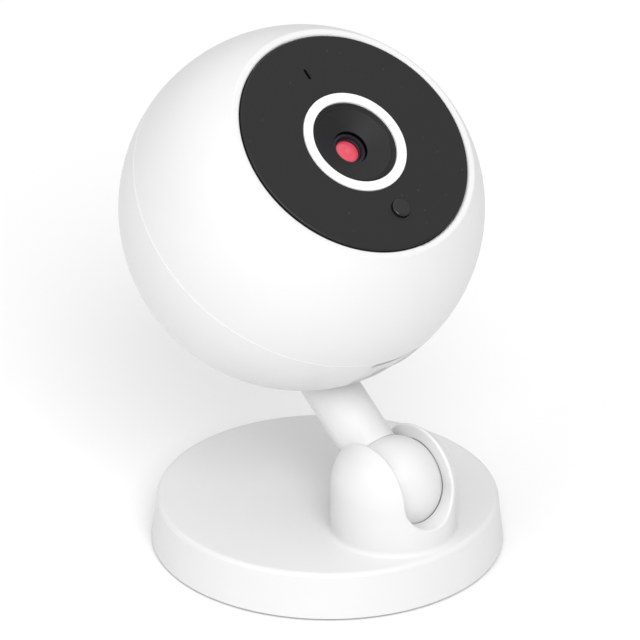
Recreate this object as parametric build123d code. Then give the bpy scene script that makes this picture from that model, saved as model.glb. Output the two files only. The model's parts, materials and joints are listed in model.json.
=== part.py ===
"""Ball security camera on a short arm, held in a slotted ball socket on a round weighted base.

The origin is the centre of the base's underside, +Z is up, and the camera looks towards -Y and up.
The head is drawn in its own frame: z along the lens axis, y along the arm, x across.
The arm is drawn in the pivot's frame: z along the arm, with the pivot ball's centre at zero.
All sizes are millimetres.
"""

import os
from math import cos, radians, sin

from build123d import *

# driving dimensions ------------------------------------------------------------------------------
ball_radius = 35.0            # outside of the head
wall = 2.0                    # shell thickness
look_angle = 52.5             # the lens axis above the horizontal, as stored
pivot_centre = (0.0, -18.8, 19.05)
arm_reach = 51.0              # pivot to the head's centre, measured along the arm
arm_behind = 22.8             # the arm's axis behind the head's middle plane
arm_radius = 5.3

base_radius = 33.9            # at the foot of the side wall
base_top_radius = 32.9
base_height = 9.5
socket_radius = 12.05
pivot_radius = 9.4
socket_gap = 0.15             # between the pivot ball and the socket
slot_radius = 6.0             # half the width of the slot that the arm swings in
slot_height = 20.0            # centre of the slot's round floor
slot_edge_radius = (socket_radius ** 2 - slot_radius ** 2) ** 0.5   # of the socket's ball, where the slot cuts it
pad_radius = 30.5
groove_radii = (10.0, 15.0, 20.0, 25.0)

panel_radius = 23.6
panel_seat = 22.3             # the ledge that the front panel is stuck to
panel_face = 24.65
lip_face = 24.35
opening_radius = 21.5

ring_outer = 10.70
ring_inner = 8.74
ring_face = 25.05
frame_top = 19.2              # the inner frame's front face, which carries the lens trim
barrel_radius = 6.0
lens_radius = 2.65

board_radius = 24.5
board_back = -4.2
board_face = -2.8
sensor_back = 0.6             # sensor board
sensor_face = 1.8

running = 0.06                # radial clearance of parts that turn in one another
snug = 0.05                   # radial clearance of parts that only assemble

# places worked out from them ---------------------------------------------------------------------
inner_radius = ball_radius - wall
lens_direction = Vector(0, -cos(radians(look_angle)), sin(radians(look_angle)))
arm_direction = Vector(0, sin(radians(look_angle)), cos(radians(look_angle)))
pivot = Vector(*pivot_centre)
head_centre = pivot + arm_direction * arm_reach + lens_direction * arm_behind
head_frame = Plane(origin=head_centre, x_dir=(1, 0, 0), z_dir=lens_direction).location
arm_frame = Plane(origin=pivot, x_dir=(1, 0, 0), z_dir=arm_direction).location
LOW = (Align.CENTER, Align.CENTER, Align.MIN)

board_screw_places = [(x, y) for x in (-15.2, 15.2) for y in (-15.2, 15.2)]
shell_screw_places = [(x, 20.2) for x in (-20.2, 20.2)]
base_screw_places = [(x, y) for x in (-20.0, 20.0) for y in (-15.8, 15.8)]
leg_places = [(18.5 * cos(radians(a)), 18.5 * sin(radians(a))) for a in (90, 210, 330)]
frame_screw_places = [(24.0 * cos(radians(a)), 24.0 * sin(radians(a))) for a in (30, 150, 270)]
led_places = [(17.0 * cos(radians(a)), 17.0 * sin(radians(a))) for a in (30, 60, 120, 150, 210, 330)]
sensor_place = (0.5, -15.7)
slit_place = (-0.7, 16.1)
speaker_place = (0.0, 13.0)
power_height = -4.0
card_level = -1.8
button_level = -7.2


# plain shapes ------------------------------------------------------------------------------------
def rod(radius, low, high, place=(0, 0)):
    """A round bar along z."""
    return Pos(place[0], place[1], low) * Cylinder(radius, high - low, align=LOW)


def cross_rod(radius, low, high, x=0.0, z=0.0):
    """A round bar along y."""
    return Pos(x, low, z) * Rot(-90, 0, 0) * Cylinder(radius, high - low, align=LOW)


def block(x, y, z):
    """A box between three pairs of limits."""
    middle = [(pair[0] + pair[1]) / 2 for pair in (x, y, z)]
    return Pos(*middle) * Box(x[1] - x[0], y[1] - y[0], z[1] - z[0])


def turned(*outline):
    """A solid turned about z from (radius, height) points."""
    return revolve(Plane.XZ * make_face(Polyline(*outline, close=True)), Axis.Z, 360)


def joined(pieces):
    """One solid from touching pieces."""
    pieces = list(pieces)
    return pieces[0].fuse(*pieces[1:]) if len(pieces) > 1 else pieces[0]


def group(pieces):
    """Separate solids kept in one node."""
    return Compound(children=[piece.solids()[0] for piece in pieces])


def screw(head_radius, head_height, shank_radius, length):
    """A pan-head screw with a cross recess: its head's seat is at zero, its shank runs up z."""
    body = rod(head_radius, -head_height, 0) + rod(shank_radius, 0, length)
    arm = head_radius * 0.62
    recess = block((-arm, arm), (-0.3, 0.3), (-head_height - 0.1, -head_height * 0.45))
    return body - recess - Rot(0, 0, 90) * recess


def rounded_at(solid, height, radius):
    """Round every edge that lies wholly at one height."""
    edges = [e for e in solid.edges() if abs(e.bounding_box().min.Z - height) < 1e-4
             and abs(e.bounding_box().max.Z - height) < 1e-4]
    return fillet(edges, radius)


# base --------------------------------------------------------------------------------------------
def base_cover():
    """Round cover and slotted ball socket in one moulding."""
    px, py, pz = pivot_centre
    cover = turned((0, 0.4), (base_radius, 0.4), (base_top_radius, base_height), (0, base_height))
    cover = rounded_at(cover, base_height, 1.0)
    column = rod(socket_radius, base_height - 1.5, pz, (px, py)) + Pos(*pivot_centre) * Sphere(socket_radius)
    cover = cover + column
    foot = [e for e in cover.edges().filter_by(GeomType.CIRCLE)
            if abs(e.radius - socket_radius) < 1e-3 and abs(e.center().Z - base_height) < 1e-3]
    cover = fillet(foot, 1.0)
    hollow = turned((0, 0), (base_radius - 2.1, 0), (base_top_radius - 2.1, base_height - 2.2),
                    (0, base_height - 2.2))
    cover -= hollow
    cover += rod(socket_radius - 1.4, 3.0, base_height - 1.0, (px, py))
    cover += [rod(3.0, 2.7, base_height - 2.0, place) for place in base_screw_places]
    cover -= [rod(1.1, 2.0, 7.0, place) for place in base_screw_places]
    cup_level = 12.5
    cover -= rod(8.5, 2.0, cup_level, (px, py))
    cover -= Pos(*pivot_centre) * Sphere(pivot_radius + socket_gap) & rod(40, cup_level, 60)
    slot_reach = (py - 20, py + 20)
    cover -= cross_rod(slot_radius, *slot_reach, x=px, z=slot_height)
    cover -= block((px - slot_radius, px + slot_radius), slot_reach, (slot_height, 45))
    slot_edges = [e for e in cover.edges().filter_by(GeomType.CIRCLE)
                  if abs(abs(e.center().X - px) - slot_radius) < 1e-3 and abs(e.radius - slot_edge_radius) < 1e-2]
    return fillet(slot_edges, 0.4)


def base_plate():
    """Bottom plate, with the boss that the spring discs stand on."""
    px, py, _ = pivot_centre
    plate = rod(31.3, 0.8, 2.6) + rod(7.6, 2.5, 4.2, (px, py))
    for place in base_screw_places:
        plate -= rod(1.4, 0, 3, place)
        plate -= rod(2.7, 0, 1.75, place)
    return plate


def base_weight():
    """Steel disc that keeps the camera upright, cut round the socket and the screw bosses."""
    px, py, _ = pivot_centre
    weight = rod(29.5, 2.7, 6.9) - rod(socket_radius - 1.0, 2, 8, (px, py))
    return weight - [rod(3.4, 2, 8, place) for place in base_screw_places]


def foot_pad():
    """Soft disc that covers the underside and its screws, with turned grooves."""
    pad = rounded_at(rod(pad_radius, 0, 0.8), 0.0, 0.25)
    for radius in groove_radii:
        pad -= rod(radius + 0.4, -1, 0.3) - rod(radius - 0.4, -2, 1)
    return pad


def base_screws():
    return group(Pos(x, y, 1.75) * screw(2.4, 0.9, 1.05, 4.6) for x, y in base_screw_places)


def friction_cup():
    """Cup that is pressed against the underside of the pivot ball."""
    px, py, _ = pivot_centre
    cup = rod(8.5 - snug * 2, 6.4, 12.35, (px, py)) - Pos(*pivot_centre) * Sphere(pivot_radius + snug)
    return cup - rod(3.0, 5, 12, (px, py))


def spring_discs():
    """Two coned spring discs, stacked point to point under the cup."""
    px, py, _ = pivot_centre
    lower = turned((3.4, 4.7), (7.4, 4.2), (7.4, 4.8), (3.4, 5.3))
    upper = turned((3.4, 5.3), (7.4, 5.8), (7.4, 6.4), (3.4, 5.9))
    return group([Pos(px, py, 0) * lower, Pos(px, py, 0) * upper])


# pivot ball and arm, in the arm's frame ----------------------------------------------------------
bore_radius = 3.26
bore_end = -4.0
clip_level = -2.0             # the groove of the spring clip that holds the arm in the ball
clip_height = 0.7
arm_end = arm_reach - 22.1    # the arm's shoulder, inside the rear shell
stud_end = arm_reach - 10.8


def pivot_ball():
    """Ball with a blind bore for the arm's spigot, and a groove in it for the clip."""
    ball = Sphere(pivot_radius) - rod(bore_radius, bore_end, 12)
    return ball - rod(bore_radius + 0.45, clip_level - 0.1, clip_level + clip_height + 0.1)


def arm():
    """Arm with a spigot that turns in the ball and a stud that the head is clamped to."""
    bar = rod(arm_radius, 0, arm_end) - Sphere(pivot_radius + running)
    bar = max(bar.solids(), key=lambda solid: solid.volume)
    bar = bar + rod(bore_radius - running, bore_end + 0.3, 12) + rod(3.0, arm_end - 1, stud_end)
    return bar - (rod(4, clip_level, clip_level + clip_height) - rod(2.6, -9, 9))


def arm_clip():
    """Open spring ring that sits in the spigot's groove."""
    clip = rod(bore_radius + 0.35, clip_level, clip_level + clip_height) - rod(2.62, -9, 9)
    return clip - block((-1.2, 1.2), (0, 9), (-9, 9))


def arm_nut():
    """Hexagon nut on the stud, inside the head."""
    blank = extrude(RegularPolygon(5.0, 6), 2.8)
    return Pos(0, 0, arm_reach - 14.0) * (blank - rod(3.0, -1, 4))


# shells, in the head's frame ---------------------------------------------------------------------
def seam_groove():
    """The fine bevel on the rear shell's edge that shows where the two shells meet."""
    return turned((ball_radius - 0.2, 0), (ball_radius + 0.2, -0.4), (ball_radius + 0.2, 0))


def front_shell():
    shell = Sphere(ball_radius) & rod(40, 0.02, lip_face)
    shell -= Sphere(inner_radius) & rod(40, -1, 20.6)
    shell -= rod(panel_radius + 0.15, panel_seat, 30)
    shell -= rod(opening_radius, 15, 30)
    shell = rounded_at(shell, lip_face, 0.45)
    bosses = joined(rod(3.2, 0.1, 20, place) for place in shell_screw_places)
    shell += bosses & Sphere(ball_radius - 1.0)
    shell -= [rod(1.15, 0, 9, place) for place in shell_screw_places]
    shell -= [rod(0.75, 20, 22, place) for place in frame_screw_places]
    shell -= turned((30, -1), (34.05, -1), (34.05, 1.7), (inner_radius - 0.2, 1.7),
                    (inner_radius - 0.2, 0.04), (30, 0.04))
    return shell


def power_inlet_cuts():
    """The shallow seat for a plug's grip, and the socket's own hole in it."""
    seat = Pos(0, power_height, -36) * extrude(RectangleRounded(11.6, 7.8, 1.8), 2.7)
    hole = Pos(0, power_height, -36) * extrude(RectangleRounded(8.0, 3.2, 0.4), 5.5)
    return seat + hole


def rear_shell():
    shell = Sphere(ball_radius) & rod(40, -40, -0.05)
    inside = Sphere(inner_radius)
    shell -= inside
    shell += rod(34.0, -1.2, 1.6) - rod(inner_radius, -2, 3)
    # bosses: the arm's socket, the shell screws, the board posts, and the pad round the power inlet
    fittings = [cross_rod(7.2, -33, -14.1, z=-arm_behind)]
    fittings += [rod(3.4, -30, -0.3, place) for place in shell_screw_places]
    fittings += [rod(2.2, -34, board_back, place) for place in board_screw_places]
    fittings += [block((-7.5, 7.5), (power_height - 5, power_height + 5), (-34, -32.0))]
    fittings += [block((side * 8.7 - 0.6, side * 8.7 + 0.6), (-8.5, -3.5), (-33, -20)) for side in (-1, 1)]
    bounds = Sphere(ball_radius - 0.8)
    for fitting in fittings:
        shell += fitting & bounds
    # the arm's stepped bore
    shell -= cross_rod(arm_radius + running, -40, -22.05, z=-arm_behind)
    shell -= cross_rod(3.05, -23, -10, z=-arm_behind)
    for place in shell_screw_places:
        shell -= rod(2.6, -40, -9, place)
        shell -= rod(1.3, -10, 1, place)
    shell -= [rod(0.8, board_back - 7, board_back + 1, place) for place in board_screw_places]
    # the pocket under the head, with the card's slot and the button's hole
    pocket = block((-6.0, 6.0), (-40, -30), (-11.0, -0.4))
    pocket = fillet(pocket.edges().filter_by(Axis.Y), 1.2)
    shell -= pocket - Sphere(ball_radius - 0.35)
    shell -= block((-5.7, 5.7), (-40, -30), (card_level - 0.6, card_level + 0.6))
    shell -= cross_rod(1.7, -40, -30, z=button_level)
    shell -= power_inlet_cuts()
    # grille: a hole in the middle and two rings round it
    for radius, count in ((0.0, 1), (3.0, 6), (6.0, 12)):
        for k in range(count):
            turn = 360 * k / count
            x = radius * cos(radians(turn))
            y = speaker_place[1] + radius * sin(radians(turn))
            shell -= rod(0.7, -40, -22, (x, y))
    return shell - seam_groove()


def shell_screws():
    return group(Pos(x, y, -9) * screw(2.3, 1.6, 1.15, 17) for x, y in shell_screw_places)


# front panel and lens trim -----------------------------------------------------------------------
def front_panel():
    """Dark disc with openings for the lens trim, the microphone and the light sensor."""
    panel = rounded_at(rod(panel_radius, panel_seat + 0.2, panel_face), panel_face, 0.35)
    panel -= rod(ring_outer + 0.08, 20, 30)
    slit = Pos(slit_place[0], slit_place[1], 20) * extrude(Rot(0, 0, 90) * SlotOverall(2.3, 0.6), 10)
    return panel - slit - rod(1.98, 20, 30, sensor_place)


def panel_adhesive():
    return rod(23.4, panel_seat, panel_seat + 0.2) - rod(opening_radius + 0.2, 20, 25)


def lens_ring():
    """White ring round the lens recess."""
    ring = rod(ring_outer, frame_top, ring_face) - rod(ring_inner, 10, 30)
    return rounded_at(ring, ring_face, 0.25)


def lens_funnel():
    """Black stepped cone between the ring and the lens."""
    outer = ring_inner - 0.06
    return turned((outer, 24.5), (7.95, 24.42), (7.75, 24.15), (3.5, 22.75), (3.5, 22.45), (4.3, 22.3),
                  (7.5, 23.3), (7.5, frame_top), (outer, frame_top))


def lens_barrel():
    """Threaded lens tube with a narrow nose."""
    return turned((2.85, 22.05), (3.3, 22.05), (3.3, 19.0), (barrel_radius, 19.0), (barrel_radius, 5.6),
                  (4.2, 5.6), (4.2, 17.8), (lens_radius + 0.01, 18.2), (lens_radius + 0.01, 21.3))


def front_lens():
    dome = 8.0
    blank = rod(lens_radius, 19.6, 22.0)
    return blank & Pos(0, 0, 21.35 - dome) * Sphere(dome)


def rear_lens():
    blank = rod(4.15, 7.0, 10.5)
    return blank & Pos(0, 0, 10.4 - 9) * Sphere(9)


def lens_holder():
    """Lens mount over the sensor, with the filter slide's channel across it."""
    holder = block((-11, 11), (-7, 7), (sensor_face, 6.0)) + rod(7.6, 5.5, 12)
    holder -= rod(barrel_radius + snug, 5.5, 20)
    holder -= rod(4.2, 4, 7)
    holder -= block((-4.5, 4.5), (-4.5, 4.5), (0, 3.3))
    holder -= block((-10.1, 10.1), (-3.7, 3.7), (3.25, 4.65))
    return holder - [rod(0.6, 0, 5, place) for place in ((9.4, 5.5), (-9.4, -5.5))]


def sensor_screws():
    return group(Pos(x, y, sensor_back) * screw(1.2, 0.7, 0.6, 4) for x, y in ((9.4, 5.5), (-9.4, -5.5)))


window = 2.6                  # half a filter's width
window_step = 3.2             # from the slide's middle to each filter
slide_level = (3.5, 4.4)


def filter_slide():
    """Sliding frame with two windows, stored with the infrared-cut filter behind the lens."""
    frame = block((-6.8, 6.8), (-3.5, 3.5), slide_level)
    for side in (-1, 1):
        frame -= block((side * window_step - window, side * window_step + window), (-window, window), (0, 9))
    return Pos(window_step, 0, 0) * frame


def filter_glass(x):
    return block((x - window, x + window), (-window, window), (slide_level[0] + 0.2, slide_level[1] - 0.2))


def filter_coil():
    """Coil beside the channel that throws the filter slide."""
    core = Rot(0, 90, 0) * Cylinder(1.6, 8) + [Pos(side * 3.7, 0, 0) * Rot(0, 90, 0) * Cylinder(2.1, 0.6)
                                              for side in (-1, 1)]
    return Pos(0, -9.3, sensor_face + 2.1) * core


def sensor_board():
    board = block((-13, 13), (-11.5, 10), (sensor_back, sensor_face))
    return board - [rod(0.7, 0, 3, place) for place in ((9.4, 5.5), (-9.4, -5.5))]


def image_sensor():
    return block((-3.5, 3.5), (-3.5, 3.5), (sensor_face, sensor_face + 0.9))


def camera_cable():
    """Flat cable folded from the sensor board to the main board."""
    fold = block((-5, 5), (7, 11.6), (sensor_back - 0.3, sensor_back))
    fold += block((-5, 5), (11.3, 11.6), (board_face, sensor_back))
    return fold + block((-5, 5), (7, 11.6), (board_face, board_face + 0.3))


def inner_frame():
    """Frame behind the panel: it carries the lens trim and stands on the main board."""
    frame = rod(25.0, 17.2, frame_top) + (rod(25.0, frame_top, 20.6) - rod(22.6, 18, 22))
    frame += [rod(2.0, board_face, 18, place) for place in leg_places]
    frame -= rod(barrel_radius + 0.2, 10, 25)
    frame -= [rod(0.8, 16, 21, place) for place in frame_screw_places]
    return frame - [rod(0.6, board_face - 1, 4, place) for place in leg_places]


def frame_screws():
    return group(Pos(x, y, 17.2) * screw(1.5, 0.9, 0.75, 4.6) for x, y in frame_screw_places)


def leg_screws():
    return group(Pos(x, y, board_back) * screw(1.3, 0.8, 0.6, 6) for x, y in leg_places)


# front electronics -------------------------------------------------------------------------------
led_face = frame_top + 1.0


def led_board():
    """Ring-shaped board behind the panel."""
    return rod(21.2, frame_top, led_face) - rod(ring_outer + 1.4, 10, 30)


def infrared_leds():
    lamps = []
    for x, y in led_places:
        lamp = block((-1.5, 1.5), (-1.3, 1.3), (led_face, led_face + 0.9))
        lamps.append(Pos(x, y, 0) * (lamp + rod(1.1, led_face + 0.8, led_face + 1.9)))
    return group(lamps)


def light_sensor():
    return Pos(sensor_place[0], sensor_place[1], 0) * block((-1, 1), (-0.8, 0.8), (led_face, led_face + 0.8))


def sensor_lens():
    """Raised round window over the light sensor."""
    stem = rod(1.9, 22.0, panel_face + 0.6)
    stem = rounded_at(stem, panel_face + 0.6, 0.3)
    return Pos(sensor_place[0], sensor_place[1], 0) * (stem + rod(2.5, 21.6, panel_seat + 0.15))


def microphone():
    x, y = slit_place
    return block((x - 1.75, x + 1.75), (y - 1.3, y + 1.3), (led_face, led_face + 1.0))


def microphone_boot():
    """Rubber tube that seals the microphone to the slit in the panel."""
    x, y = slit_place
    boot = block((x - 2.0, x + 2.0), (y - 1.9, y + 1.9), (led_face + 1.0, panel_seat + 0.2))
    return boot - block((x - 0.5, x + 0.5), (y - 1.3, y + 1.3), (10, 30))


# main board and what is on it --------------------------------------------------------------------
def main_board():
    board = rod(board_radius, board_back, board_face)
    board -= [rod(1.0, -9, 0, place) for place in board_screw_places]
    return board - [rod(0.7, -9, 0, place) for place in leg_places]


def board_screws():
    """These face backwards into the rear shell's posts."""
    return group(Pos(x, y, board_face) * Rot(180, 0, 0) * screw(1.7, 1.0, 0.8, 7) for x, y in board_screw_places)


def processor():
    return block((-6, 6), (0, 12), (board_back - 1.2, board_back))


def memory_chips():
    return group(block((x - 3, x + 3), (-7, -2.5), (board_back - 0.9, board_back)) for x in (-13.0, 13.0))


def radio_can():
    """Screening can over the radio."""
    return block((-19.5, -11.5), (2, 11), (board_face, board_face + 1.6))


def thermal_pad():
    return block((-6, 6), (0, 12), (board_back - 1.7, board_back - 1.2))


def heat_sink():
    """Finned block over the processor."""
    top = board_back - 1.7
    sink = block((-8, 8), (-2, 14), (top - 1.2, top))
    fins = [block((x - 0.5, x + 0.5), (-2, 14), (top - 5.0, top - 1.1)) for x in (-7.5, -4.5, -1.5, 1.5, 4.5, 7.5)]
    return sink + fins


def card_socket():
    """Sheet-metal card holder at the board's lower edge."""
    body = block((-7, 7), (-31.2, -15.5), (board_face, -0.8))
    return body - block((-5.7, 5.7), (-33, -17.6), (card_level - 0.5, card_level + 0.5))


def memory_card():
    card = block((-5.5, 5.5), (-33.7, -18.7), (card_level - 0.4, card_level + 0.4))
    card = fillet(card.edges().filter_by(Axis.Z), 0.6)
    return card - block((4.6, 7), (-28.5, -17), (-5, 3))


def reset_button():
    """Small button in the pocket, with a flange that keeps it in."""
    cap = cross_rod(1.5, -36, -31, z=button_level) & Sphere(ball_radius - 0.6)
    cap += cross_rod(2.3, -31.3, -30.6, z=button_level)
    return cap + cross_rod(1.0, -31.5, -28.1, z=button_level)


def reset_switch():
    body = block((-1.8, 1.8), (-27.2, -22.7), (button_level - 1.6, board_back))
    return body + cross_rod(0.8, -27.6, -27.0, z=button_level)


# sound, power and radio --------------------------------------------------------------------------
def speaker():
    """Round speaker: basket, cone and magnet, facing the grille."""
    basket = turned((0, -22.2), (3, -22.2), (8.6, -22.9), (9.9, -23.0), (9.9, -21.4), (6.0, -20.4),
                    (6.0, -18.4), (0, -18.4))
    return Pos(speaker_place[0], speaker_place[1], 0) * basket


def speaker_gasket():
    """Soft ring that fills the gap between the speaker's rim and the curved shell."""
    ring = rod(9.8, -31, -23.0, speaker_place) - rod(8.6, -35, -20, speaker_place)
    return ring & Sphere(inner_radius - 0.02)


def power_board():
    return block((-8.0, 8.0), (power_height - 2.4, power_height - 1.4), (-31.1, -17))


def power_socket():
    """Metal shell of the small power socket, with its contact tongue."""
    low = power_height - 1.4
    shell = block((-3.75, 3.75), (low, low + 2.8), (-33.2, -28.2))
    shell -= block((-3.4, 3.4), (low + 0.35, low + 2.45), (-35, -28.6))
    return shell + block((-1.9, 1.9), (low + 1.5, low + 2.0), (-32.4, -28.3))


def power_wires():
    return group(rod(0.7, -17.4, board_back, (x, power_height - 3.15)) for x in (3.2, 4.8))


def antenna():
    """Thin aerial strip inside the top of the head."""
    strip = Sphere(inner_radius - 0.05) - Sphere(inner_radius - 0.4)
    return strip & block((-16, 16), (20, 36), (-10, -4.5))


def antenna_cable():
    path = FilletPolyline((12, 29.0, -7), (12, 26.0, -8), (12, 20.5, -7.5), (12, 20.5, board_back), radius=2.2)
    return sweep(Plane(origin=path @ 0, z_dir=path % 0) * Circle(0.55), path=path)


# writing the nodes -------------------------------------------------------------------------------
base_nodes = {
    "base_cover": base_cover, "base_plate": base_plate, "base_weight": base_weight,
    "foot_pad": foot_pad, "base_screws": base_screws, "friction_cup": friction_cup,
    "spring_discs": spring_discs,
}
arm_nodes = {
    "pivot_ball": pivot_ball, "arm": arm, "arm_clip": arm_clip, "arm_nut": arm_nut,
}
head_nodes = {
    "front_shell": front_shell, "rear_shell": rear_shell, "shell_screws": shell_screws,
    "front_panel": front_panel, "panel_adhesive": panel_adhesive, "lens_ring": lens_ring,
    "lens_funnel": lens_funnel, "lens_barrel": lens_barrel, "front_lens": front_lens,
    "rear_lens": rear_lens, "lens_holder": lens_holder, "sensor_screws": sensor_screws,
    "filter_slide": filter_slide, "infrared_cut_filter": lambda: filter_glass(0.0),
    "clear_filter": lambda: filter_glass(2 * window_step), "filter_coil": filter_coil,
    "sensor_board": sensor_board, "image_sensor": image_sensor, "camera_cable": camera_cable,
    "inner_frame": inner_frame, "frame_screws": frame_screws, "leg_screws": leg_screws,
    "led_board": led_board, "infrared_leds": infrared_leds, "light_sensor": light_sensor,
    "sensor_lens": sensor_lens, "microphone": microphone, "microphone_boot": microphone_boot,
    "main_board": main_board, "board_screws": board_screws, "processor": processor,
    "memory_chips": memory_chips, "radio_can": radio_can, "thermal_pad": thermal_pad,
    "heat_sink": heat_sink, "card_socket": card_socket, "memory_card": memory_card,
    "reset_button": reset_button, "reset_switch": reset_switch, "speaker": speaker,
    "speaker_gasket": speaker_gasket, "power_board": power_board, "power_socket": power_socket,
    "power_wires": power_wires, "antenna": antenna, "antenna_cable": antenna_cable,
}

os.makedirs("parts", exist_ok=True)
for frame, nodes in ((Location(), base_nodes), (arm_frame, arm_nodes), (head_frame, head_nodes)):
    for name, make in nodes.items():
        export_step(frame * make(), f"parts/{name}.step")
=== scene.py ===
"""Looks of a ball-shaped security camera: finishes for its moulded, glass, metal and board parts,
and the fine pieces that are too small for the frame to carry.

Lengths are metres. The head's own place has its origin at the ball's centre, x across, y along the
arm and z along the lens axis. Most patterns and new pieces are drawn in it.
"""

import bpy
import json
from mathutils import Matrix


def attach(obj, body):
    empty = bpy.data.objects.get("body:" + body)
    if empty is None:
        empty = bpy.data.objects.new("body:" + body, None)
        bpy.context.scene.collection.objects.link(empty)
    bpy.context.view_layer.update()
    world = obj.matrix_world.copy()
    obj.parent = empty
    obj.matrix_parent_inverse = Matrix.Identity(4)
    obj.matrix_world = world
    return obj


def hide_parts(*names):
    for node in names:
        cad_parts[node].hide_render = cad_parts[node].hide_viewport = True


bl_info = {
    "name": "Ball camera finishes",
    "version": (1, 0, 0),
    "blender": (4, 5, 0),
    "location": "3D View > Sidebar > Ball camera",
    "description": "Builds the fine pieces, finishes and studio for a ball-shaped security camera",
    "category": "Object",
}

import json
import math
from collections import namedtuple

import bpy
import numpy as np
from bpy.props import FloatProperty, FloatVectorProperty, IntProperty, PointerProperty
from mathutils import Matrix, Vector

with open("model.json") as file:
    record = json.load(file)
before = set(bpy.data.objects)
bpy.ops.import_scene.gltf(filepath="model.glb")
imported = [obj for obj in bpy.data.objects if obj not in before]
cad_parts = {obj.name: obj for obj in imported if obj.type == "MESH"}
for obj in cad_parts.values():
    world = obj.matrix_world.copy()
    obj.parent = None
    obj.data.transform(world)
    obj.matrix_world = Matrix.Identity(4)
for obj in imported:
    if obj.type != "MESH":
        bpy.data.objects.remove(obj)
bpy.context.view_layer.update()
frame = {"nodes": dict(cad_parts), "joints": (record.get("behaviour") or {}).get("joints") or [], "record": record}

MM = 0.001
nodes = frame["nodes"]
mounts = {mount["name"]: mount for mount in frame["record"]["mounts"]}
joints = {joint["name"]: joint for joint in frame["joints"]}

# where the head and the arm are. The card slot's mouth is a known way down and back from the
# ball's centre, so the centre is found from it.
Place = namedtuple("Place", "origin turn")
slot_depth, slot_back = 34.4 * MM, 1.8 * MM
lens_axis = -Vector(mounts["power_inlet"]["axis"])
arm_axis = Vector(joints["swivel"]["axis"])
across = arm_axis.cross(lens_axis).normalized()
slot_mouth = Vector(mounts["card_slot"]["pos_m"])
ball_centre = slot_mouth + arm_axis * slot_depth + lens_axis * slot_back
head = Place(ball_centre, Matrix((across, arm_axis, lens_axis)).transposed())
arm = Place(Vector(joints["tilt"]["pos_m"]), Matrix((across, -lens_axis, arm_axis)).transposed())
upright = Place(ball_centre, Matrix.Identity(3))

# colours that are not settings
WHITE = (1.0, 1.0, 1.0)
DUST = (0.30, 0.30, 0.30)
REFLECTION_RIM = (0.02, 0.004, 0.006)
TINNED_PAD = (0.72, 0.70, 0.62)
CARD_DARK, CARD_STRIP = (0.03, 0.03, 0.032), (0.55, 0.55, 0.55)
TAPE_BLACK = (0.04, 0.04, 0.04)
CLOTH_BLACK = (0.012, 0.012, 0.013)
SOFT_BLACK = (0.05, 0.05, 0.052)
FRAME_BLACK = (0.02, 0.02, 0.02)
WIRE_RED = (0.5, 0.03, 0.02)
ACETAL = (0.74, 0.72, 0.66)
REAR_LENS_TINT = (0.5, 0.25, 0.28)
INFRARED_TINT, CLEAR_TINT = (0.75, 0.12, 0.14), (0.85, 0.9, 0.9)
COPPER_WIRE = (0.80, 0.38, 0.18)
CABLE_DARK, CABLE_LIGHT = (0.30, 0.12, 0.02), (0.62, 0.30, 0.06)
SINK_ALLOY = (0.55, 0.56, 0.58)
CAN_ALLOY = (0.75, 0.72, 0.6)
THERMAL_GREY = (0.25, 0.27, 0.32)


# settings ------------------------------------------------------------------------------------
def colour_setting(name, about, value):
    return FloatVectorProperty(name=name, description=about, subtype="COLOR", size=3, min=0,
                               max=1, default=value)


def length_setting(name, about, value):
    return FloatProperty(name=name, description=about, unit="LENGTH", precision=5, min=0,
                         default=value)


def angle_setting(name, about, degrees):
    return FloatProperty(name=name, description=about, subtype="ANGLE",
                         default=math.radians(degrees))


class FinishSettings(bpy.types.PropertyGroup):
    """Colours of the camera's finishes."""
    shell_white: colour_setting("Shell white", "Moulded shells, base and arm", (0.70, 0.70, 0.70))
    trim_white: colour_setting("Ring white", "Glossy ring round the lens", (0.86, 0.86, 0.86))
    panel_dark: colour_setting("Panel dark", "Smoked front panel", (0.0080, 0.0080, 0.0084))
    trim_black: colour_setting("Trim black", "Cone round the lens", (0.007, 0.007, 0.008))
    tube_black: colour_setting("Tube black", "Anodised lens tube", (0.020, 0.022, 0.030))
    coating_reflection_red: colour_setting("Lens red", "Reflection of the lens coating", (0.60, 0.056, 0.092))
    board_green: colour_setting("Board green", "Circuit boards", (0.015, 0.10, 0.04))
    steel: colour_setting("Steel", "Plated steel parts", (0.62, 0.62, 0.63))
    rubber: colour_setting("Rubber", "Foot pad and seals", (0.03, 0.03, 0.032))


class SizeSettings(bpy.types.PropertyGroup):
    """Sizes of the fine pieces."""
    mould_line: length_setting("Mould line", "Width of the parting line along the arm", 0.16 * MM)
    mesh_pitch: length_setting("Mesh pitch", "Pitch of the cloth behind the grille", 0.42 * MM)
    wire_pitch: length_setting("Wire pitch", "Pitch of the winding on the filter's coil",
                               0.24 * MM)
    chip_legs: IntProperty(name="Chip legs", description="Legs on each long side of a memory chip",
                           min=1, default=7)


class StageSettings(bpy.types.PropertyGroup):
    """Camera and lights."""
    azimuth: angle_setting("Azimuth", "Camera's direction round the object", -42.01)
    elevation: angle_setting("Elevation", "Camera's height above the horizon", 27.39)
    roll: angle_setting("Roll", "Camera's turn about its own axis", 0.26)
    distance: length_setting("Distance", "Camera to the point it looks at", 2.3163)
    aim: FloatVectorProperty(name="Aim", description="Point that the camera looks at",
                             subtype="TRANSLATION", default=(0.0116, 0.0153, 0.0371))
    focal: FloatProperty(name="Focal length", description="Lens length in millimetres",
                         default=675.0)
    key: FloatProperty(name="Key light", description="Strength of the main soft light",
                       unit="POWER", default=16.0)
    fill: FloatProperty(name="Fill light", description="Strength of the light on the other side",
                        unit="POWER", default=3.6)
    sky: FloatProperty(name="Room light", description="Strength of the room light from above",
                       default=1.2)


def finish_settings():
    return bpy.context.scene.ball_camera_finish


def size_settings():
    return bpy.context.scene.ball_camera_size


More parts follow.
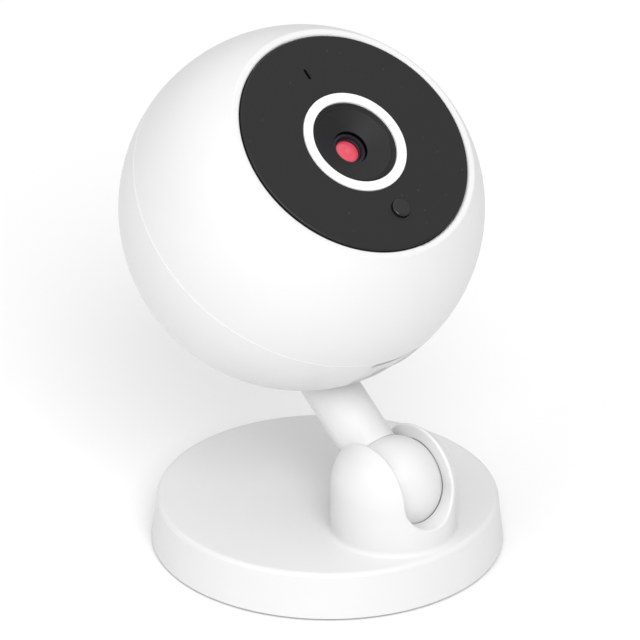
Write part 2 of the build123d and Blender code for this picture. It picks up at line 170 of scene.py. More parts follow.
# shader maths --------------------------------------------------------------------------------
class Value:
    """One output of a shader node. Arithmetic on it adds Math nodes."""

    def __init__(self, tree, socket):
        self.tree = tree
        self.socket = socket

    def math(self, operation, *terms):
        node = self.tree.nodes.new("ShaderNodeMath")
        node.operation = operation
        for slot, term in zip(node.inputs, terms):
            put(self.tree, slot, term)
        return Value(self.tree, node.outputs[0])

    def __add__(self, other):
        return self.math("ADD", self, other)

    def __sub__(self, other):
        return self.math("SUBTRACT", self, other)

    def __rsub__(self, other):
        return self.math("SUBTRACT", other, self)

    def __mul__(self, other):
        return self.math("MULTIPLY", self, other)

    def __truediv__(self, other):
        return self.math("DIVIDE", self, other)

    def __pow__(self, other):
        return self.math("POWER", self, other)

    def __gt__(self, other):
        return self.math("GREATER_THAN", self, other)

    def __lt__(self, other):
        return self.math("LESS_THAN", self, other)

    __radd__ = __add__
    __rmul__ = __mul__

    def sine(self):
        return self.math("SINE", self)

    def fraction(self):
        return self.math("FRACT", self)

    def absolute(self):
        return self.math("ABSOLUTE", self)


def put(tree, slot, term):
    """Link a value to a socket, or set the socket's own number or colour."""
    if isinstance(term, Value):
        tree.links.new(term.socket, slot)
    elif hasattr(term, "__len__") and slot.type == "RGBA" and len(term) == 3:
        slot.default_value = (*term, 1.0)
    else:
        slot.default_value = term


def find_input(node, name):
    """A socket by name, or by NAME_INDEX where a node has several of that name."""
    stem, _, index = name.rpartition("_")
    if stem and index.isdigit():
        return node.inputs[int(index)]
    return node.inputs[name.replace("_", " ")]


def fill_ramp(ramp, stops):
    """Set a colour ramp's stops, each a position and a colour."""
    while len(ramp.elements) < len(stops):
        ramp.elements.new(1.0)
    for element, (position, colour) in zip(ramp.elements, stops):
        element.position = position
        element.color = (*colour, 1.0)


class Shading:
    """A node tree being filled, and the patterns that it can draw."""

    def __init__(self, tree, coordinates):
        self.tree = tree
        self.position = self.node("ShaderNodeTexCoord", output=coordinates)

    def node(self, kind, settings=None, output=0, **inputs):
        """Add a node: its settings first, then its sockets' values or links."""
        node = self.tree.nodes.new(kind)
        for key, value in (settings or {}).items():
            if key == "stops":
                fill_ramp(node.color_ramp, value)
            else:
                setattr(node, key, value)
        for socket, value in inputs.items():
            put(self.tree, find_input(node, socket), value)
        return Value(self.tree, node.outputs[output])

    def local(self, place, scale=(1, 1, 1)):
        """Coordinates in one of the object's own places."""
        return self.node("ShaderNodeMapping", {"vector_type": "TEXTURE"}, Vector=self.position,
                         Location=tuple(place.origin), Rotation=tuple(place.turn.to_euler()),
                         Scale=scale)

    def parts(self, vector):
        """The x, y and z of a vector."""
        node = self.tree.nodes.new("ShaderNodeSeparateXYZ")
        put(self.tree, node.inputs[0], vector)
        return [Value(self.tree, out) for out in node.outputs]

    def noise(self, size, detail=2.0, rough=0.5, at=None):
        """Soft noise whose blobs are about size across."""
        return self.node("ShaderNodeTexNoise", Vector=at or self.position, Scale=1.0 / size,
                         Detail=detail, Roughness=rough)

    def cells(self, size, at=None, feature="F1", output="Distance"):
        """Distance to the nearest of a scatter of points about size apart, or their colours."""
        return self.node("ShaderNodeTexVoronoi", {"feature": feature}, output=output,
                         Vector=at or self.position, Scale=1.0 / size)

    def waves(self, distance, pitch):
        """A sine of a distance, from -1 to 1, that repeats at each pitch."""
        return (distance * (2 * math.pi / pitch)).sine()

    def ramp(self, value, *stops):
        """Turn a value into a colour."""
        return self.node("ShaderNodeValToRGB", {"stops": stops}, Fac=value)

    def mix(self, factor, first, second):
        """Blend two colours."""
        return self.node("ShaderNodeMix", {"data_type": "RGBA"}, output=2, Factor_0=factor,
                         A_6=first, B_7=second)

    def bump(self, height, depth):
        """A normal tilted by a height pattern that is depth deep."""
        return self.node("ShaderNodeBump", Height=height, Distance=depth, Strength=1.0)


class Finish(Shading):
    """A material being made: a shader, its constants, and the patterns that feed it."""

    def __init__(self, name, **constants):
        self.material = bpy.data.materials.new(name)
        self.material.use_nodes = True
        super().__init__(self.material.node_tree, "Object")
        self.shader = next(n for n in self.tree.nodes if n.type == "BSDF_PRINCIPLED")
        self.feed(**constants)

    def feed(self, **inputs):
        for socket, value in inputs.items():
            put(self.tree, self.shader.inputs[socket.replace("_", " ")], value)
        return self


# finishes ------------------------------------------------------------------------------------
def tone(colour, factor):
    """A colour made darker or paler."""
    return tuple(min(1.0, c * factor) for c in colour)


def vary(value, pattern, spread):
    """A number that a pattern from 0 to 1 moves up and down by half its spread."""
    return value + (pattern - 0.5) * spread


def moulded(name, colour, roughness=0.42, grain=0.16 * MM, relief=0.004 * MM, edge=None):
    """Moulded plastic: an even colour with a faint cloudiness, and the fine spark texture of the
    mould.

    edge is the width of a paler line on the head's middle plane, where its shells meet: a painted highlight of the
    seam's edge catching the light."""
    f = Finish(name, IOR=1.5)
    cloud = f.noise(9 * MM, detail=3.0)
    spark = f.noise(grain, rough=0.6)
    body = f.mix(cloud, tone(colour, 0.985), tone(colour, 1.01))
    if edge:
        # painted highlight: a paler band along the seam where the shells meet
        height = f.parts(f.local(head))[2]
        body = f.mix((height - edge / 2).absolute() < edge / 2, body, tone(colour, 1.14))
    return f.feed(Base_Color=body, Roughness=vary(vary(roughness, cloud, 0.06), spark, 0.08),
                  Normal=f.bump(spark, relief)).material


def smoked_panel():
    """Dark smoked plastic, lightly textured, with a scatter of pale dust specks."""
    dark = finish_settings().panel_dark
    dust_pitch, largest, cutoff, paleness = 1.3 * MM, 0.10, 0.03, 0.35
    f = Finish("smoked_panel", IOR=1.4)
    at = f.local(head)
    cloud = f.noise(14 * MM, detail=4.0, at=at)
    spark = f.noise(0.12 * MM, at=at)
    # a speck's size is picked by its cell, and is nothing in most of them
    pick = f.cells(dust_pitch, at=at, output="Color")
    speck = f.cells(dust_pitch, at=at) < f.parts(pick)[0] * largest - cutoff
    body = f.mix(cloud, tone(dark, 0.94), tone(dark, 1.07))
    return f.feed(Base_Color=f.mix(speck * paleness, body, DUST),
                  Roughness=vary(0.40, cloud, 0.10) + speck * 0.2,
                  Normal=f.bump(spark, 0.003 * MM)).material


def turned_black(name, colour, pitch, roughness, relief, metallic=0.0):
    """Black part with fine rings turned about the lens axis."""
    f = Finish(name, IOR=1.4, Metallic=metallic)
    at = f.local(head)
    x, y, _ = f.parts(at)
    rings = f.waves((x * x + y * y) ** 0.5, pitch)
    cloud = f.noise(3 * MM, detail=3.0, at=at)
    return f.feed(Base_Color=f.mix(cloud, tone(colour, 0.85), tone(colour, 1.2)),
                  Roughness=vary(roughness + rings * 0.03, cloud, 0.1),
                  Normal=f.bump(rings, relief)).material


def coated_glass():
    """Front element: a painted reflection of its coating, a red disc with faint rings, darker at the rim, that
    also glows through its emission.
    """
    red = finish_settings().coating_reflection_red
    glow, rim, ring_pitch, ripple = 0.30, 2.7 * MM, 0.55 * MM, 0.025
    f = Finish("coated_glass", IOR=1.5, Roughness=0.12, Coat_Roughness=0.02, Coat_Weight=0.2,
               Emission_Strength=glow)
    x, y, _ = f.parts(f.local(head))
    radius = (x * x + y * y) ** 0.5
    # painted reflection: the coating's red disc and rings are painted into the colour, and the same colour glows
    colour = f.ramp(radius / rim + f.waves(radius, ring_pitch) * ripple,
                    (0.0, tone(red, 1.05)), (0.35, tone(red, 0.84)), (0.62, red),
                    (0.84, tone(red, 0.8)), (0.97, REFLECTION_RIM))
    return f.feed(Base_Color=colour, Emission_Color=colour).material


def filter_glass(name, colour):
    """Clear or tinted glass with a faint smear."""
    f = Finish(name, IOR=1.52, Transmission_Weight=0.8)
    smear = f.noise(1.5 * MM, detail=3.0)
    return f.feed(Base_Color=f.mix(smear, tone(colour, 0.9), colour),
                  Roughness=0.04 + smear * 0.05).material


def brushed(name, colour, stretch=(1, 14, 1), roughness=0.32, place=head):
    """Metal with a one-way grain, drawn out along the long side of stretch."""
    f = Finish(name, Metallic=1.0)
    grain = f.noise(0.25 * MM, detail=4.0, rough=0.65, at=f.local(place, stretch))
    cloud = f.noise(5 * MM)
    return f.feed(Base_Color=f.mix(cloud, tone(colour, 0.9), tone(colour, 1.05)),
                  Roughness=vary(roughness, grain, 0.25),
                  Normal=f.bump(grain, 0.004 * MM)).material


def plated_steel():
    """Zinc-plated screws and springs: bright with a mottled sheen."""
    steel = finish_settings().steel
    f = Finish("plated_steel", Metallic=1.0)
    mottle = f.cells(0.5 * MM, feature="SMOOTH_F1")
    cloud = f.noise(2 * MM, detail=3.0)
    return f.feed(Base_Color=f.mix(cloud, tone(steel, 0.85), tone(steel, 1.1)),
                  Roughness=0.24 + mottle * 0.15, Normal=f.bump(mottle, 0.003 * MM)).material


def circuit_board():
    """Solder-masked board: copper tracks show as raised paler lines, with tinned pads here and
    there."""
    green = finish_settings().board_green
    f = Finish("circuit_board", IOR=1.5, Coat_Weight=0.3, Coat_Roughness=0.15)
    at = f.local(head)
    x, y, _ = f.parts(at)
    # tracks run one way in some patches of the board and the other way in the rest
    pitch_x, wander_x, width_x = 0.9 * MM, 5, 0.16
    pitch_y, wander_y, width_y = 1.3 * MM, 4, 0.14
    pad_pitch, pad_radius = 2.3 * MM, 0.13
    bend = f.noise(7 * MM, detail=0.0, at=at)
    lane_x = ((x / pitch_x + bend * wander_x).fraction() - 0.5).absolute()
    lane_y = ((y / pitch_y + bend * wander_y).fraction() - 0.5).absolute()
    patch = f.cells(4.5 * MM, at=at, output="Color")
    way = f.parts(patch)[0] > 0.5
    track = (lane_x < width_x) * way + (lane_y < width_y) * (1 - way)
    pad = f.cells(pad_pitch, at=at) < pad_radius
    mask = f.mix(track, green, tone(green, 1.9))
    return f.feed(Base_Color=f.mix(pad, mask, TINNED_PAD), Metallic=pad,
                  Roughness=0.36 - pad * 0.1, Normal=f.bump(track + pad, 0.03 * MM)).material


def chip_package():
    """Black moulding compound with a sanded look."""
    dark, light = (0.018, 0.018, 0.02), (0.032, 0.032, 0.034)
    f = Finish("chip_package", IOR=1.5)
    sand = f.noise(0.09 * MM, detail=3.0, rough=0.7)
    cloud = f.noise(4 * MM)
    return f.feed(Base_Color=f.mix(cloud, dark, light), Roughness=vary(0.55, sand, 0.2),
                  Normal=f.bump(sand, 0.006 * MM)).material


def rubber(name, colour):
    """Soft rubber with a fine dusty grain."""
    f = Finish(name, IOR=1.45, Sheen_Weight=0.15)
    dust = f.noise(0.3 * MM, detail=4.0, rough=0.7)
    cloud = f.noise(6 * MM, detail=3.0)
    return f.feed(Base_Color=f.mix(cloud, tone(colour, 0.85), tone(colour, 1.3)),
                  Roughness=vary(0.75, dust, 0.2), Normal=f.bump(dust, 0.01 * MM)).material


def flat_cable():
    """Flat cable, whose conductors show as fine parallel lines across x."""
    f = Finish("flat_cable", IOR=1.5, Metallic=0.0)
    line = f.waves(f.parts(f.local(head))[0], 0.5 * MM) * 0.5 + 0.5
    cloud = f.noise(1.2 * MM)
    return f.feed(Base_Color=f.mix(line, CABLE_DARK, CABLE_LIGHT),
                  Roughness=vary(0.4, cloud, 0.1), Normal=f.bump(line, 0.02 * MM)).material


def lamp_resin():
    """Pale milky resin of the lamps and of the light sensor."""
    dark, light = (0.60, 0.58, 0.48), (0.82, 0.80, 0.70)
    f = Finish("lamp_resin", IOR=1.5, Transmission_Weight=0.35)
    milk = f.noise(0.6 * MM)
    return f.feed(Base_Color=f.mix(milk, dark, light), Roughness=0.2 + milk * 0.1).material


def sensor_face():
    """Image sensor: a dark, slightly iridescent die in a pale frame."""
    pale, half_width, half_height = (0.25, 0.24, 0.2), 2.4 * MM, 1.8 * MM
    sheen = ((0.0, (0.02, 0.05, 0.06)), (0.5, (0.05, 0.03, 0.08)), (1.0, (0.03, 0.07, 0.04)))
    f = Finish("sensor_face", IOR=1.6, Coat_Weight=0.6, Coat_Roughness=0.03)
    x, y, _ = f.parts(f.local(head))
    die = (x.absolute() < half_width) * (y.absolute() < half_height)
    sweep = f.ramp((x + y) / (6 * MM) + 0.5, *sheen)
    return f.feed(Base_Color=f.mix(die, pale, sweep), Roughness=0.4 - die * 0.3).material


def speaker_cone():
    """Black paper with fine fibres."""
    dark, light = (0.015, 0.015, 0.016), (0.04, 0.04, 0.042)
    f = Finish("speaker_cone", IOR=1.5)
    fibre = f.noise(0.5 * MM, detail=4.0, rough=0.7)
    return f.feed(Base_Color=f.mix(fibre, dark, light), Roughness=vary(0.7, fibre, 0.2),
                  Normal=f.bump(fibre, 0.01 * MM)).material


def gold():
    """Gold flash on contacts."""
    dark, light = (0.75, 0.52, 0.20), (0.95, 0.72, 0.33)
    f = Finish("gold_flash", Metallic=1.0)
    cloud = f.noise(0.4 * MM, detail=3.0)
    return f.feed(Base_Color=f.mix(cloud, dark, light), Roughness=0.2 + cloud * 0.15).material


def card_plastic():
    """Grey card with a pale strip along its outer end, so that it shows in the slot."""
    strip_start = -33.0 * MM
    f = Finish("card_plastic", IOR=1.5)
    y = f.parts(f.local(head))[1]
    grain = f.noise(0.2 * MM)
    return f.feed(Base_Color=f.mix(y < strip_start, CARD_DARK, CARD_STRIP),
                  Roughness=vary(0.45, grain, 0.1), Normal=f.bump(grain, 0.004 * MM)).material


def paint(material, *names):
    """Give CAD nodes or new pieces a finish."""
    for name in names:
        piece = nodes.get(name) or bpy.data.objects[name]
        if not piece.material_slots:
            piece.data.materials.append(material)
        for slot in piece.material_slots:
            slot.material = material


# surfaces ------------------------------------------------------------------------------------
def placed(points, place):
    """Points drawn in one of the object's own places, put in the frame."""
    return points @ np.array(place.turn).T + np.array(place.origin)


def circle(steps):
    """Angles evenly round a turn, without the last, which is the first again."""
    return np.linspace(0, 2 * np.pi, steps, endpoint=False)


def skin(points, close="ends"):
    """Faces over rings of points (rings, steps, 3), as index arrays.

    close is "ends" for a flat face on the first and the last ring, "round" to join the last ring
    to the first, and "none" to leave both open."""
    rings, steps = points.shape[:2]
    index = np.arange(rings * steps).reshape(rings, steps)
    near = np.concatenate([index, index[:1]]) if close == "round" else index
    near = np.concatenate([near, near[:, :1]], axis=1)
    corners = [near[:-1, :-1], near[:-1, 1:], near[1:, 1:], near[1:, :-1]]
    faces = [np.stack(corners, axis=-1).reshape(-1, 4)]
    if close == "ends":
        faces += [index[:1, ::-1], index[-1:]]
    return points.reshape(-1, 3), faces


def make_piece(name, *skins):
    """One smooth-shaded object made of one or more skins."""
    points, faces, start = [], [], 0
    for skin_points, blocks in skins:
        points.append(skin_points)
        for block in blocks:
            faces += (block + start).tolist()
        start += len(skin_points)
    mesh = bpy.data.meshes.new(name)
    mesh.from_pydata(np.concatenate(points).tolist(), [], faces)
    mesh.validate()
    mesh.shade_smooth()
    piece = bpy.data.objects.new(name, mesh)
    bpy.context.scene.collection.objects.link(piece)
    return piece


def turned_piece(name, outline, steps=128, close="round"):
    """A (radius, height) outline carried round the lens axis: x = r cos t, y = r sin t, z = h.

    It runs anticlockwise, with the radius to the right and the height up. An open one starts and
    ends near the axis, and has its ends closed."""
    t = circle(steps)
    r, h = np.asarray(outline, float).T
    points = np.stack([np.outer(r, np.cos(t)), np.outer(r, np.sin(t)),
                       np.outer(h, np.ones(steps))], axis=-1)
    return make_piece(name, skin(placed(points, head), close))


def pillow(centre, size, rings=9, steps=24):
    """The skin of a rounded block in the head's place: x = a c(u) c(v), y = b c(u) s(v) and
    z = c s(u), where c and s are the cosine and the sine with their sizes raised to a small
    power. Its poles are cut off and closed flat."""
    power = 1 / 3

    def squared(wave):
        return np.sign(wave) * np.abs(wave) ** power

    u = np.linspace(-np.pi / 2, np.pi / 2, rings)[1:-1, None]
    v = circle(steps)[None, :]
    half = np.array(size) / 2
    points = np.stack([half[0] * squared(np.cos(u)) * squared(np.cos(v)),
                       half[1] * squared(np.cos(u)) * squared(np.sin(v)),
                       half[2] * squared(np.sin(u)) * np.ones_like(v)], axis=-1)
    return skin(placed(points + np.array(centre), head))


def ride_as(piece, body, slot_name, material, *replaced):
    """Join a new piece to its body and its finish, and hide the CAD nodes that it replaces. slot_name is not used.
    """
    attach(piece, body)
    paint(material, piece.name)
    if replaced:
        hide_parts(*replaced)
    return piece


# pieces --------------------------------------------------------------------------------------
def lens_element():
    """Front lens, a domed disc: z = z0 + sqrt(R^2 - r^2) in front, with a bevel at its rim, and a
    flat ground back."""
    radius, dome, top, back = 2.65 * MM, 8.0 * MM, 21.35 * MM, 19.6 * MM
    r = np.linspace(0.01, 1.0, 32) * (radius - 0.06 * MM)
    front = np.stack([r, top - dome + np.sqrt(dome ** 2 - r ** 2)], axis=-1)
    rim = np.array([[radius, front[-1, 1] - 0.08 * MM], [radius, back + 0.1 * MM],
                    [radius - 0.1 * MM, back], [r[0], back]])
    return turned_piece("lens_element", np.concatenate([front, rim])[::-1], close="ends")


def lens_retainer():
    """Thin black ring that holds the lens in its tube, with a sloping inner edge."""
    outline = np.array([(2.63, 21.03), (2.63, 21.42), (2.58, 21.47), (2.50, 21.47),
                        (2.36, 21.18), (2.36, 21.05)])
    return turned_piece("lens_retainer", outline * MM)


def cone_bead():
    """Fine raised bead between the ring and the cone: a circle carried round the lens axis."""
    radius, level, thickness = 8.30, 24.47, 0.10
    t = circle(12)
    outline = np.stack([radius + thickness * np.cos(t), level + thickness * np.sin(t)], axis=-1)
    return turned_piece("cone_bead", outline * MM, steps=160)


def grille_cloth():
    """Acoustic cloth that lines the shell behind the grille: a cap of the sphere
    z = -sqrt(R^2 - x^2 - y^2), with its weave pressed in as a small ripple sin(x) sin(y)."""
    pitch = size_settings().mesh_pitch
    cap_radius, cap_centre, sphere_radius = 8.3 * MM, 13.0 * MM, 32.85 * MM
    press, thickness = 0.02 * MM, 0.18 * MM
    rho = np.linspace(0.0, 1.0, 70)[1:, None] * cap_radius
    t = circle(180)[None, :]
    x, y = rho * np.cos(t), cap_centre + rho * np.sin(t)
    weave = press * np.sin(2 * np.pi * x / pitch) * np.sin(2 * np.pi * y / pitch)
    z = -np.sqrt(sphere_radius ** 2 - x ** 2 - y ** 2) - weave
    outer = np.stack([x, y, z], axis=-1)
    inner = outer[::-1] + np.array([0, 0, thickness])
    return make_piece("grille_cloth", skin(placed(np.concatenate([outer, inner]), head)))


def mould_lines():
    """Parting lines down both sides of the arm: a low ridge whose height is h cos^2 across its
    width, with its underside sunk in the arm."""
    width, height, radius = size_settings().mould_line, 0.05 * MM, 5.3 * MM
    sink, under_scale = 0.01 * MM, np.array([0.98, 0.98, 1.0])
    w = np.linspace(-1, 1, 9)
    z = np.linspace(13.0 * MM, 24.0 * MM, 24)
    rise = radius + height * np.cos(w * np.pi / 2) ** 2 - sink
    lines = []
    for side in (0.0, np.pi):
        angle = side + w * width / 2 / radius
        top = np.stack([np.outer(np.ones_like(z), rise * np.cos(angle)),
                        np.outer(np.ones_like(z), rise * np.sin(angle)),
                        np.outer(z, np.ones_like(w))], axis=-1)
        under = top[:, ::-1] * under_scale
        lines.append(skin(placed(np.concatenate([top, under], axis=1), arm)))
    return make_piece("mould_lines", *lines)


def coil_winding():
    """Wire on the filter's coil, as one ridged skin along x: the radius is
    r0 + h |cos(pi (x / pitch - t / 2 pi))|, so its ridge climbs one pitch in a turn."""
    pitch = size_settings().wire_pitch
    half_length, radius, ridge = 3.3 * MM, 1.78 * MM, 0.12 * MM
    middle_y, middle_z = -9.3 * MM, 3.9 * MM
    x = np.linspace(-half_length, half_length, 260)[:, None]
    t = circle(48)[None, :]
    r = radius + ridge * np.abs(np.cos(np.pi * (x / pitch - t / (2 * np.pi))))
    points = np.stack([x * np.ones_like(t), middle_y + r * np.cos(t), middle_z + r * np.sin(t)],
                      axis=-1)
    return make_piece("coil_winding", skin(placed(points, head)))


def chip_legs():
    """Rows of tinned legs along the memory chips' long sides."""
    count, reach, level = size_settings().chip_legs, 2.4, -4.4 * MM
    leg = (0.3 * MM, 0.7 * MM, 0.36 * MM)
    legs = [pillow((x * MM, y * MM, level), leg, rings=6, steps=10)
            for chip in (-13.0, 13.0) for y in (-7.25, -2.25)
            for x in np.linspace(chip - reach, chip + reach, count)]
    return make_piece("chip_legs", *legs)


def power_contacts():
    """Five gold strips on the tongue of the power socket."""
    level, middle, strip = -3.92 * MM, -30.4 * MM, (0.34 * MM, 0.09 * MM, 3.4 * MM)
    strips = [pillow((x * MM, level, middle), strip) for x in (-1.3, -0.65, 0.0, 0.65, 1.3)]
    return make_piece("power_contacts", *strips)


def card_contacts():
    """Eight gold pads on the inner end of the memory card."""
    middle, level, pad = -20.4 * MM, -2.22 * MM, (0.8 * MM, 2.8 * MM, 0.05 * MM)
    pads = [pillow((x * MM, middle, level), pad) for x in np.linspace(-3.85, 3.85, 8)]
    return make_piece("card_contacts", *pads)


# operators -----------------------------------------------------------------------------------
class BALLCAM_OT_shells(bpy.types.Operator):
    """Finish the white shells of the head and the button between them"""
    bl_idname = "ball_camera.shells"
    bl_label = "Shells"

    def execute(self, context):
        white = finish_settings().shell_white
        # the shells carry a painted highlight along their seam
        paint(moulded("shell_plastic", white, edge=0.30 * MM), "front_shell", "rear_shell")
        paint(moulded("button_plastic", tone(white, 0.9), 0.5), "reset_button")
        return {"FINISHED"}


class BALLCAM_OT_front_panel(bpy.types.Operator):
    """Finish the dark panel with its light sensor window, tape and lamps"""
    bl_idname = "ball_camera.front_panel"
    bl_label = "Front panel"

    def execute(self, context):
        dark = finish_settings().panel_dark
        paint(smoked_panel(), "front_panel")
        paint(moulded("window_plastic", tone(dark, 0.6), 0.12), "sensor_lens")
        paint(rubber("adhesive_tape", TAPE_BLACK), "panel_adhesive")
        paint(lamp_resin(), "infrared_leds", "light_sensor")
        return {"FINISHED"}


class BALLCAM_OT_lens(bpy.types.Operator):
    """Make the lens element, its retainer and the bead, and finish the ring, cone and tube"""
    bl_idname = "ball_camera.lens"
    bl_label = "Lens"

    def execute(self, context):
        s = finish_settings()
        glass = coated_glass()
        cone = turned_black("cone_plastic", s.trim_black, 0.3 * MM, 0.45, 0.002 * MM)
        tube = turned_black("tube_anodised", s.tube_black, 0.22 * MM, 0.35, 0.004 * MM,
                            metallic=0.4)
        paint(moulded("ring_plastic", s.trim_white, 0.22, relief=0.001 * MM), "lens_ring")
        paint(cone, "lens_funnel")
        paint(tube, "lens_barrel")
        paint(filter_glass("rear_element", REAR_LENS_TINT), "rear_lens")
        ride_as(lens_element(), "head", "lens_glass", glass, "front_lens")
        ride_as(lens_retainer(), "head", "barrel_black", tube)
        ride_as(cone_bead(), "head", "trim_black", cone)
        return {"FINISHED"}


class BALLCAM_OT_arm(bpy.types.Operator):
    """Finish the arm and the pivot ball, and add the arm's parting lines"""
    bl_idname = "ball_camera.arm"
    bl_label = "Arm and ball"

    def execute(self, context):
        plastic = moulded("arm_plastic", finish_settings().shell_white, 0.45)
        paint(plastic, "arm", "pivot_ball")
        ride_as(mould_lines(), "head", "pivot_white", plastic)
        return {"FINISHED"}


class BALLCAM_OT_base(bpy.types.Operator):
    """Finish the base, its weight, its foot pad and the cup that presses on the ball"""
    bl_idname = "ball_camera.base"
    bl_label = "Base"

    def execute(self, context):
        s = finish_settings()
        paint(moulded("base_plastic", s.shell_white, 0.44), "base_cover", "base_plate")
        paint(brushed("weight_steel", tone(s.steel, 0.9), place=upright), "base_weight")
        paint(rubber("foot_rubber", s.rubber), "foot_pad")
        paint(moulded("cup_acetal", ACETAL, 0.5), "friction_cup")
        return {"FINISHED"}


class BALLCAM_OT_back(bpy.types.Operator):
    """Make the grille's cloth, the power socket's contacts and the card's contacts"""
    bl_idname = "ball_camera.back"
    bl_label = "Back and card"

    def execute(self, context):
        contact = gold()
        ride_as(grille_cloth(), "head", "rubber_grey", rubber("cloth", CLOTH_BLACK))
        ride_as(power_contacts(), "head", "copper", contact)
        ride_as(card_contacts(), "memory_card", "copper", contact)
        paint(brushed("socket_metal", finish_settings().steel, roughness=0.25),
              "power_socket", "card_socket", "radio_can", "reset_switch")
        paint(card_plastic(), "memory_card")
        return {"FINISHED"}


class BALLCAM_OT_electronics(bpy.types.Operator):
    """Finish the boards, chips, cables, speaker and filter inside the head"""
    bl_idname = "ball_camera.electronics"
    bl_label = "Electronics"

    def execute(self, context):
        paint(circuit_board(), "main_board", "sensor_board", "led_board", "power_board")
        paint(chip_package(), "processor", "memory_chips")
        paint(sensor_face(), "image_sensor")
        paint(moulded("frame_plastic", FRAME_BLACK, 0.5),
              "inner_frame", "lens_holder", "filter_slide")
        paint(filter_glass("infrared_glass", INFRARED_TINT), "infrared_cut_filter")
        paint(filter_glass("clear_glass", CLEAR_TINT), "clear_filter")
        paint(moulded("coil_former", SOFT_BLACK, 0.5), "filter_coil")
        ride_as(coil_winding(), "head", "copper",
                brushed("copper_wire", COPPER_WIRE, stretch=(14, 1, 1)))
        ride_as(chip_legs(), "head", "screw_steel", plated_steel())
        paint(flat_cable(), "camera_cable", "antenna")
        paint(brushed("heat_sink_alloy", SINK_ALLOY, stretch=(1, 20, 1)), "heat_sink")
        paint(brushed("microphone_can", CAN_ALLOY), "microphone")
        paint(rubber("soft_parts", SOFT_BLACK), "microphone_boot", "speaker_gasket")
        paint(rubber("thermal_gum", THERMAL_GREY), "thermal_pad")
        paint(speaker_cone(), "speaker")
        paint(moulded("red_wire", WIRE_RED, 0.35), "power_wires")
        paint(moulded("black_wire", FRAME_BLACK, 0.35), "antenna_cable")
        return {"FINISHED"}


class BALLCAM_OT_fasteners(bpy.types.Operator):
    """Finish the screws, nut, clip and spring discs"""
    bl_idname = "ball_camera.fasteners"
    bl_label = "Fasteners"

    def execute(self, context):
        paint(plated_steel(), "base_screws", "shell_screws", "frame_screws", "leg_screws",
              "board_screws", "sensor_screws", "arm_nut", "arm_clip", "spring_discs")
        return {"FINISHED"}


def add_camera(s, aim, right, up, out):
    """The camera, at its distance from the aim along out, and turned by its roll."""
    full_frame, farthest = 36.0, 20.0
    lens = bpy.data.cameras.new("camera")
    lens.lens, lens.sensor_width, lens.clip_end = s.focal, full_frame, farthest
    camera = bpy.data.objects.new("camera", lens)
    camera.matrix_world = (Matrix.Translation(aim + out * s.distance)
                           @ Matrix((right, up, out)).transposed().to_4x4()
                           @ Matrix.Rotation(s.roll, 4, "Z"))
    bpy.context.scene.collection.objects.link(camera)
    bpy.context.scene.camera = camera


def add_floor():
    """Pale paper floor: rings of growing radius, just under the foot pad."""
    level = -0.05 * MM
    t = circle(96)
    r = np.array([6.0, 1.0, 0.1, 1e-4])[:, None]
    points = np.stack([r * np.cos(t), r * np.sin(t), np.full((len(r), len(t)), level)], axis=-1)
    floor = make_piece("floor", skin(points, close="none"))
    paper = Finish("floor_paper", Specular_IOR_Level=0.1)
    soft = paper.noise(0.15)
    paper.feed(Base_Color=paper.mix(soft, tone(WHITE, 0.86), tone(WHITE, 0.88)),
               Roughness=0.8 + soft * 0.1)
    floor.data.materials.append(paper.material)


def add_light(name, power, size, place, target):
    """A round soft light that faces a point."""
    light = bpy.data.lights.new(name, "AREA")
    light.shape = "DISK"
    light.energy = power
    light.size = size
    lamp = bpy.data.objects.new(name, light)
    lamp.location = place
    lamp.rotation_euler = (target - place).to_track_quat("-Z", "Y").to_euler()
    bpy.context.scene.collection.objects.link(lamp)


def add_room(strength):
    """Room light that is brightest overhead and dim at the horizon."""
    room = bpy.data.worlds.new("room")
    room.use_nodes = True
    sky = Shading(room.node_tree, "Generated")
    height = sky.parts(sky.position)[2]
    glow = sky.ramp(height, (0.0, tone(WHITE, 0.16)), (0.35, tone(WHITE, 0.42)), (1.0, WHITE))
    background = room.node_tree.nodes["Background"]
    put(room.node_tree, background.inputs["Color"], glow)
    put(room.node_tree, background.inputs["Strength"], strength)
    bpy.context.scene.world = room


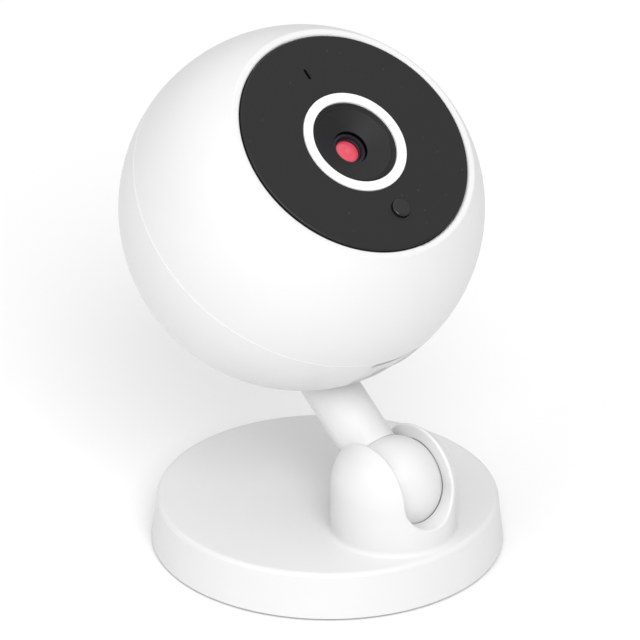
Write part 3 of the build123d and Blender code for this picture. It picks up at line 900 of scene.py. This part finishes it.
class BALLCAM_OT_stage(bpy.types.Operator):
    """Set the camera, the pale floor and the studio lights"""
    bl_idname = "ball_camera.stage"
    bl_label = "Studio"

    def execute(self, context):
        s = context.scene.ball_camera_stage
        aim = Vector(s.aim)
        level = math.cos(s.elevation)
        out = Vector((math.sin(s.azimuth) * level, -math.cos(s.azimuth) * level,
                      math.sin(s.elevation)))
        right = Vector((math.cos(s.azimuth), math.sin(s.azimuth), 0.0))
        add_camera(s, aim, right, out.cross(right), out)
        add_floor()
        # each light's strength and width, and its way from the aim: forward, right and up
        for name, power, width, forward, sideways, rise in (
                ("key", s.key, 1.0, 1.45, 0.25, 0.4),
                ("fill", s.fill, 0.9, 0.9, -0.9, 0.3)):
            place = aim + out * forward + right * sideways + Vector((0, 0, rise))
            add_light(name, power, width, place, aim)
        add_room(s.sky)
        context.scene.view_settings.view_transform = "Standard"
        return {"FINISHED"}


class BALLCAM_PT_panel(bpy.types.Panel):
    """Buttons for the camera's pieces, finishes and studio"""
    bl_label = "Ball camera"
    bl_idname = "BALLCAM_PT_panel"
    bl_space_type = "VIEW_3D"
    bl_region_type = "UI"
    bl_category = "Ball camera"

    def draw(self, context):
        for operator in operators:
            self.layout.operator(operator.bl_idname)


settings = {"ball_camera_finish": FinishSettings, "ball_camera_size": SizeSettings,
            "ball_camera_stage": StageSettings}
operators = (BALLCAM_OT_stage, BALLCAM_OT_shells, BALLCAM_OT_front_panel, BALLCAM_OT_lens,
             BALLCAM_OT_arm, BALLCAM_OT_base, BALLCAM_OT_back, BALLCAM_OT_electronics,
             BALLCAM_OT_fasteners)


def register():
    for name, group in settings.items():
        bpy.utils.register_class(group)
        setattr(bpy.types.Scene, name, PointerProperty(type=group))
    for operator in operators:
        bpy.utils.register_class(operator)
    bpy.utils.register_class(BALLCAM_PT_panel)


def unregister():
    bpy.utils.unregister_class(BALLCAM_PT_panel)
    for operator in reversed(operators):
        bpy.utils.unregister_class(operator)
    for name, group in settings.items():
        delattr(bpy.types.Scene, name)
        bpy.utils.unregister_class(group)


def main():
    register()
    for operator in operators:
        group, _, name = operator.bl_idname.partition(".")
        getattr(getattr(bpy.ops, group), name)()


if __name__ == "__main__":
    main()
